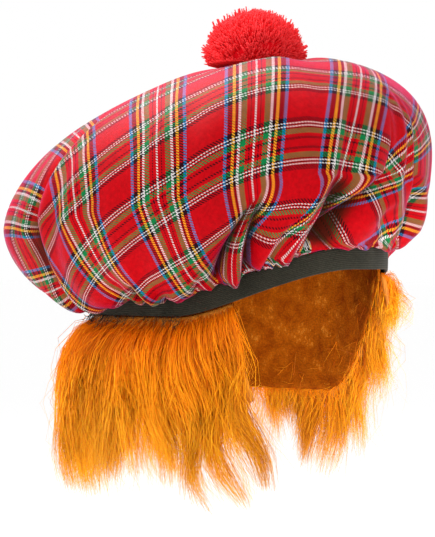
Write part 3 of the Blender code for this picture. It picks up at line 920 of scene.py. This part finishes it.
def make_backing():
    """An elliptic wall in rows down both faces, softly dented, with rounded edges all round."""
    angle = np.linspace(HAIR_LEFT_EDGE, HAIR_RIGHT_EDGE, BACKING_COLUMNS)
    top = BAND_LOW + FRONT_RISE + BACKING_RISE
    low = backing_low(angle)
    down = np.linspace(0.0, 1.0, BACKING_ROWS)
    inward = np.zeros(BACKING_ROWS)
    inward[[0, -1]] = 0.25
    rows = []
    for share, deep in zip((*down, *down[::-1]), (*inward, *(1 - inward)), strict=True):
        height = top + (low - top) * share
        dent = BACKING_DENTS[0] * np.sin(0.11 * angle + 90 * height)
        dent = dent + BACKING_DENTS[1] * np.sin(0.31 * angle - 140 * height)
        dent = np.minimum(dent * smooth_step(share / 0.6), 0.0)
        radius = opening_radius(angle, -HEM_THICKNESS - BAND_GAP - deep * BACKING_THICKNESS + dent)
        rows.append(around(angle, radius, height))
    return wall_piece("hair_ground", rows)


def backing_material():
    """Fine knit ribs, blotches of darker and lighter brown, and bright specks where pile shows through."""
    add, finish = new_material("brown_knit", {"Roughness": 0.92, "Specular IOR Level": 0.05})
    place = object_place(add)
    blotch = noise(add, place, 90.0, 5.0, 0.65)
    stretched = add("ShaderNodeVectorMath", {0: place, 1: (1.0, 1.0, 0.55)}, operation="MULTIPLY").outputs[0]
    specks = noise(add, stretched, 700.0, 4.0, 0.75)
    knit = add("ShaderNodeTexVoronoi", {"Vector": place, "Scale": 900.0}).outputs["Distance"]
    ground = ramp(add, blotch, ((0.30, colour(136, 56, 0)), (0.72, colour(186, 96, 8))))
    bright = rescale(add, calc(add, "MULTIPLY", specks, blotch), 0.32, 0.39, 0.0, 0.8)
    mixed = blend(add, bright, ground, colour(216, 132, 40))
    toned = blend(add, 1.0, mixed, rescale(add, knit, 0.0, 0.7, 1.1, 0.7), "MULTIPLY")
    return finish(toned, calc(add, "SUBTRACT", specks, knit), 0.7, 0.0006)


backing = make_backing()
backing.data.materials.append(backing_material())
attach(backing, "root")
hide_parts("hair_backing")


# Hair pile
# Long ginger fibres stand out of the whole strip and fall over one another. They gather into pointed locks
# towards the tips, full and combed forward on the wearer's right, and shorter towards the face on the left.
PILE_LENGTH = 0.096
PILE_PUFF = 0.020
PILE_TIP = 0.0022
LOCK_DROP = 0.012
COMB_CURVE = 1.4
HAIR_STRANDS = 11100
ROOT_CROWDING = 0.55
SHORT_SHARE = 0.34
FLYAWAYS = 2500
FLYAWAY_WILDNESS = 4.6
FLYAWAY_WIDTH = 0.55
FLYAWAY_PAINTED_LIGHT = 0.40
STRAND_RADIUS = 0.00023
STRAND_TAPER = 0.85
STRAND_POINTS = 8
EDGE_WISPS = 1000
LOCKS = 105
LOCK_MIXING = 1.8
LOCK_HOLD = 0.8
LOCK_TURN = 4.6
STRAND_TURN = 4.0
LOCK_SWAY = 3.6
LOCK_RELIEF = 0.0036
FRIZZ_TURN = 1.9
FRIZZ_LIFT = 0.0027
STRAY_RISE = 0.007
SWAY_SEED = 3
WISP_RADIUS = 0.00013
WISPS_INSIDE = 0.14
WISP_BEND = 0.22
UNDERLAYER_COLUMNS = 220
UNDERLAYER_ROWS = 14
UNDERLAYER_REACH = 0.60
UNDERLAYER_DEPTHS = (0.50, 0.40)

HAIR_COLUMNS = ("angle", "length", "comb", "puff")
HAIR = (
    (HAIR_LEFT_EDGE, 0.04, -2.0, 0.42),
    (38.0, 0.14, 0.0, 0.52),
    (48.0, 0.30, 0.0, 0.60),
    (58.0, 0.52, 1.0, 0.70),
    (70.0, 0.85, 2.5, 0.80),
    (82.0, 1.02, 1.0, 0.85),
    (94.0, 0.88, -1.0, 0.85),
    (104.0, 0.58, 0.0, 0.80),
    (116.0, 0.72, 1.0, 0.85),
    (135.0, 0.98, 1.0, 1.00),
    (180.0, 1.00, 0.0, 1.00),
    (225.0, 0.99, -2.0, 1.15),
    (262.0, 1.04, 2.0, 1.02),
    (280.0, 1.05, 6.0, 0.95),
    (290.0, 1.07, 9.0, 0.90),
    (300.0, 1.06, 13.0, 0.75),
    (HAIR_RIGHT_EDGE, 0.90, 17.0, 0.60),
)
HAIR_PIECES = (
    ("hair_left", 0, 110), ("hair_back", 110, 182), ("hair_behind_ear", 182, 246), ("hair_right", 246, 360),
)
PUFF_SHARES = (0.0, 0.07, 0.20, 0.42, 0.70, 0.90, 1.0)
PUFF_VALUES = (0.16, 0.56, 0.86, 0.98, 1.0, 0.94, 0.84)


def hair_value(name, angle):
    """One column of HAIR at any angle between its edges."""
    return np.interp(angle, column(HAIR, HAIR_COLUMNS, "angle"), column(HAIR, HAIR_COLUMNS, name))


def puffed(root, share):
    """How far the pile stands out over a root, at a share of the way down to its tips."""
    return PILE_PUFF * hair_value("puff", root) * np.interp(share, PUFF_SHARES, PUFF_VALUES)


def drift(rng, angle, height, waves):
    """A smooth field over the pile: a sum of sines of the angle and the height, about one in size."""
    total = np.zeros(np.broadcast(angle, height).shape)
    for _ in range(waves):
        across = rng.uniform(4.0, 16.0)
        down = rng.uniform(-90.0, 90.0)
        total += np.sin(np.radians(angle) * across + down * height + rng.uniform(0, 2 * math.pi))
    return total / math.sqrt(waves)


def strand_paths(rng, count, wild):
    """Each strand leaves the ground outwards, reaches its own layer of the pile, and falls in that layer to
    its tip, drawn towards the middle of its lock. wild is how far it strays."""
    root = HAIR_LEFT_EDGE + 0.3 + (HAIR_RIGHT_EDGE - HAIR_LEFT_EDGE - 0.6) * rng.uniform(0, 1, count)
    ground_low = backing_low(root) + 0.001
    ground_top = band_low(root) - 0.0006
    high = rng.uniform(0.0, 1.0, count) ** ROOT_CROWDING
    start = ground_low + (ground_top - ground_low) * high

    lock_middle = np.sort(rng.uniform(HAIR_LEFT_EDGE, HAIR_RIGHT_EDGE, LOCKS))
    lock_length = rng.uniform(-0.7, 1.0, LOCKS)
    lock_stand = rng.normal(0, 1.0, LOCKS)
    lock_turn = rng.normal(0, LOCK_TURN, LOCKS)
    lock = np.clip(np.searchsorted(lock_middle, root + rng.normal(0, LOCK_MIXING, count)), 0, LOCKS - 1)
    off_lock = np.abs(lock_middle[lock] - root)

    length = PILE_LENGTH * hair_value("length", root)
    room = np.clip(length / 0.05, 0.3, 1.0)
    full = BAND_LOW - length - LOCK_DROP * room * (0.45 + 1.0 * lock_length[lock])
    short = SHORT_SHARE * rng.uniform(0, 1, count) ** 2.6 + 0.022 * np.clip(off_lock, 0, 4)
    end = start + (full - start) * (1 - short)
    end = np.minimum(end, start - 0.016)

    along = np.linspace(0.0, 1.0, STRAND_POINTS)[None, :]
    height = start[:, None] + (end - start)[:, None] * (0.75 * along + 0.25 * along**2)
    share = np.clip((ground_top[:, None] - height) / (ground_top - full)[:, None], 0.0, 1.1)
    layer = np.clip(0.08 + 0.82 * high + 0.10 * lock_stand[lock] + rng.normal(0, 0.09, count), 0.04, 1.10)
    thick = PILE_TIP + puffed(root[:, None], share)
    out = thick * layer[:, None] * (1 - np.exp(-along / 0.09))

    drawn_in = rng.uniform(0, 1, count) < LOCK_HOLD
    draw = np.where(drawn_in, rng.uniform(0.7, 1.0, count), rng.uniform(0.0, 0.6, count))[:, None]
    strand_turn = rng.normal(0, STRAND_TURN, count) * np.where(drawn_in, 0.35, 1.3)
    comb = hair_value("comb", root)[:, None] + (lock_turn[lock] + strand_turn)[:, None]
    angle = root[:, None] + comb * share**COMB_CURVE
    angle = angle + draw * (lock_middle[lock] - root)[:, None] * along**1.8
    fields = np.random.default_rng(SWAY_SEED)
    sideways = drift(fields, angle, height, 5)
    depthways = drift(fields, angle, height, 5)
    angle = angle + LOCK_SWAY * sideways * along**1.2
    out = out + LOCK_RELIEF * room[:, None] * depthways * along * (0.4 + 0.6 * along)

    sway = rng.uniform(0, 2 * math.pi, (2, count, 1))
    speed = rng.uniform(3.0, 12.0, (2, count, 1))
    near_tip = 1 - 0.45 * along**2
    stray = wild * rng.uniform(0.3, 1.3, (count, 1)) * along**0.9 * near_tip
    angle = angle + FRIZZ_TURN * stray * np.sin(speed[0] * along + sway[0])
    lift = np.sin(speed[1] * along + sway[1])
    out = out + FRIZZ_LIFT * stray * np.where(wild > 1.5, 0.35 + lift, lift)
    behind = height > backing_low(np.clip(angle, HAIR_LEFT_EDGE, HAIR_RIGHT_EDGE)) - 0.001
    out = np.where(behind, np.maximum(out, 0.0002), np.maximum(out, -0.003))
    highest = band_low(root)[:, None] - 0.0004
    height = np.where(out < 0.0035, np.minimum(height, highest), height)
    if wild > 1.5:
        hop = STRAY_RISE * rng.uniform(0, 1, (count, 1)) ** 2 * np.sin(math.pi * np.clip(3 * along, 0, 1))
        height = height + hop * smooth_step((out - 0.0045) / 0.002)
    radius = opening_radius(angle, -HEM_THICKNESS - SEAT_GAP + out)
    # Tint is partly random and partly painted light: strands of the outer layers and of locks that stand out
    # are lighter
    tint = 0.5 + 0.14 * lock_stand[lock] + 0.10 * (high - 0.5) + rng.normal(0, 0.26, count)
    return around(angle, radius, height), np.clip(tint, 0, 1)


def make_hair(seed):
    """The strands in four pieces round the head. The loose ones among them are thinner, and painted lighter
    as light that catches stray fibres.
    """
    rng = np.random.default_rng(seed)
    calm, calm_tint = strand_paths(rng, HAIR_STRANDS, 1.0)
    loose, loose_tint = strand_paths(rng, FLYAWAYS, FLYAWAY_WILDNESS)
    paths = np.concatenate([calm, loose])
    # Loose strands are painted lighter, as light catching the stray fibres
    tint = np.concatenate([calm_tint, np.clip(loose_tint + FLYAWAY_PAINTED_LIGHT, 0, 1)])
    thick = STRAND_RADIUS * rng.uniform(0.7, 1.3, len(paths))
    thick[HAIR_STRANDS:] *= FLYAWAY_WIDTH
    taper = 1 - STRAND_TAPER * np.linspace(0, 1, STRAND_POINTS) ** 2
    radii = thick[:, None] * taper
    where = np.mod(np.degrees(np.arctan2(paths[:, 0, 0], -paths[:, 0, 1])), 360.0)
    pieces = []
    for name, low, high in HAIR_PIECES:
        chosen = (where >= low) & (where < high)
        pieces.append(tube_piece(name, paths[chosen], radii[chosen], 3, tint[chosen]))
    return pieces


def make_edge_wisps(seed):
    """Short curled ends of pile that walk from the ground's cut edge, and a few across its brown side."""
    rng = np.random.default_rng(seed)
    angle = rng.uniform(HAIR_LEFT_EDGE, HAIR_RIGHT_EDGE, EDGE_WISPS)
    inside = rng.uniform(0, 1, EDGE_WISPS) < WISPS_INSIDE
    height = backing_low(angle) + 0.0003
    height = np.where(inside, height + rng.uniform(0.001, 0.03, EDGE_WISPS), height)
    height = np.minimum(height, band_low(angle) - 0.003)
    out = np.where(inside, -0.0030, -0.0012) - HEM_THICKNESS - BAND_GAP
    heading = rng.normal(-math.pi / 2, 1.0, EDGE_WISPS)
    step = rng.uniform(0.0007, 0.0024, EDGE_WISPS)
    spread = np.where(inside, -0.3, -0.1)
    limits = (HAIR_LEFT_EDGE - 2, HAIR_RIGHT_EDGE + 2)
    paths = walk(rng, (angle, height, out), heading, step, WISP_BEND, spread, limits, STRAND_POINTS)
    taper = 1 - 0.8 * np.linspace(0, 1, STRAND_POINTS) ** 2
    radii = WISP_RADIUS * rng.uniform(0.8, 1.3, EDGE_WISPS)[:, None] * taper
    tint = np.where(inside, rng.uniform(0.0, 0.5, EDGE_WISPS), rng.uniform(0.3, 1.0, EDGE_WISPS))
    return tube_piece("hair_edge_wisps", paths, radii, 3, tint)


def make_underlayer():
    """A closed curtain at half the pile's depth, cut off well above the tips, so that no light shows. It
    stands for the deep pile in its shade.
    """
    root = np.linspace(HAIR_LEFT_EDGE + 0.4, HAIR_RIGHT_EDGE - 0.4, UNDERLAYER_COLUMNS)
    top = band_low(root) - 0.0012
    full = BAND_LOW - PILE_LENGTH * hair_value("length", root)
    low = top + (full - top) * (UNDERLAYER_REACH + 0.03 * np.sin(0.9 * root) + 0.02 * np.sin(2.3 * root))
    down = np.linspace(0.0, 1.0, UNDERLAYER_ROWS)
    outer_depth, inner_depth = UNDERLAYER_DEPTHS
    rows = []
    for shares, outside in ((down, True), (down[::-1], False)):
        for share in shares:
            height = top + (low - top) * share
            reached = np.clip((top - height) / (top - full), 0, 1)
            ripple = 0.0007 * np.sin(1.7 * root + 3 * share) + 0.0005 * np.sin(4.1 * root)
            puff = puffed(root, reached)
            below = smooth_step((backing_low(root) + 0.004 - height) / 0.02)
            out = puff * outer_depth + ripple * share if outside else puff * inner_depth * below
            angle = root + hair_value("comb", root) * reached**COMB_CURVE
            radius = opening_radius(angle, -HEM_THICKNESS - SEAT_GAP + np.maximum(out, 0.0) + 0.0001)
            rows.append(around(angle, radius, height))
    return wall_piece("hair_underlayer", rows)


def underlayer_material():
    """Dark ginger streaks that run with the hair, from noise stretched along the height: a painted shade of
    the deep pile.
    """
    add, finish = new_material("ginger_pile_shade", {"Roughness": 0.7})
    drawn = add("ShaderNodeVectorMath", {0: object_place(add), 1: (1.0, 1.0, 0.06)}, operation="MULTIPLY")
    streaks = noise(add, drawn.outputs[0], 900.0, 4.0, 0.7)
    tone = ramp(add, streaks, ((0.32, colour(160, 76, 4)), (0.68, colour(240, 146, 24))))
    return finish(tone, streaks, 0.8, 0.0008)


ginger = fibre_material(
    "ginger_fibre", colour(246, 126, 4), colour(252, 164, 14), colour(255, 188, 34),
    (0.58, 0.31, 0.30, 1.0), (1.42, 1.46, 1.8, 1.0), 0.45,
)
underlayer = make_underlayer()
underlayer.data.materials.append(underlayer_material())
hair_pieces = [*make_hair(5), make_edge_wisps(8)]
for piece in hair_pieces:
    piece.data.materials.append(ginger)
for piece in (underlayer, *hair_pieces):
    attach(piece, "root")
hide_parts("hair_pile")


# Floor, lights and camera
# The hat is held up as on a head, over a plain pale floor, in soft light from all sides and from above. A
# small spot from low on the right warms the far hair, as in the photograph.
CAMERA_AZIMUTH = math.radians(-50.0)
CAMERA_DISTANCE = 1.40
CAMERA_HEIGHT = 0.0137
CAMERA_SIDE = -0.0125
CAMERA_LENS = 150.2
FLOOR_DEPTH = 0.300
FLOOR_HALF = 40.0
FLOOR_TONES = ((0.985, 0.985, 0.985, 1.0), (1.0, 1.0, 1.0, 1.0))

# Each lamp's place is in metres towards the camera, to its right and up, and then the point it looks at
SOFT = {"shape": "SQUARE", "size": 0.8}
SPOT = {"spot_size": math.radians(9.0), "spot_blend": 1.0, "shadow_soft_size": 0.08}
LAMPS = (
    ("top", "AREA", -0.35, -0.35, 1.10, (0.0, 0.0, 0.050), 23.0, SOFT),
    ("front_left", "AREA", 1.20, -0.70, 0.70, (0.0, 0.0, 0.020), 2.5, SOFT),
    ("low_right", "SPOT", 1.10, 0.40, -0.22, (0.066, -0.064, -0.026), 105.0, SPOT),
)


def make_floor():
    """One large square under the hat."""
    corners = np.array([[-1, -1, 0], [1, -1, 0], [1, 1, 0], [-1, 1, 0]]) * FLOOR_HALF - [0, 0, FLOOR_DEPTH]
    floor = mesh_piece("floor", corners, np.array([[0, 1, 2, 3]]))
    add, finish = new_material("pale_floor", {"Roughness": 0.9})
    grain = noise(add, object_place(add), 40.0)
    floor.data.materials.append(finish(blend(add, grain, *FLOOR_TONES)))
    return floor


def add_lamp(name, kind, place, aim, watts, settings):
    """A lamp that looks at a point."""
    data = bpy.data.lights.new(name, kind)
    data.energy = watts
    for key, value in settings.items():
        setattr(data, key, value)
    lamp = bpy.data.objects.new(name, data)
    bpy.context.scene.collection.objects.link(lamp)
    lamp.location = place
    lamp.rotation_mode = "QUATERNION"
    lamp.rotation_quaternion = (Vector(aim) - Vector(place)).to_track_quat("-Z", "Y")


make_floor()
near_way = np.array([math.sin(CAMERA_AZIMUTH), -math.cos(CAMERA_AZIMUTH), 0.0])
right_way = np.array([math.cos(CAMERA_AZIMUTH), math.sin(CAMERA_AZIMUTH), 0.0])
up_way = np.array([0.0, 0.0, 1.0])
for name, kind, near, right, up, aim, watts, settings in LAMPS:
    add_lamp(name, kind, (near_way * near + right_way * right + up_way * up).tolist(), aim, watts, settings)

world = bpy.data.worlds.new("studio")
world.use_nodes = True
world.node_tree.nodes["Background"].inputs["Color"].default_value = (1.0, 1.0, 1.0, 1.0)
world.node_tree.nodes["Background"].inputs["Strength"].default_value = 1.0
bpy.context.scene.world = world
bpy.context.scene.view_settings.view_transform = "Standard"

camera_data = bpy.data.cameras.new("camera")
camera_data.lens = CAMERA_LENS
camera_data.sensor_width = 36.0
camera_data.clip_start = 0.05
camera = bpy.data.objects.new("camera", camera_data)
bpy.context.scene.collection.objects.link(camera)
camera.location = (near_way * CAMERA_DISTANCE + right_way * CAMERA_SIDE + up_way * CAMERA_HEIGHT).tolist()
camera.rotation_euler = (math.pi / 2, 0.0, CAMERA_AZIMUTH)
bpy.context.scene.camera = camera
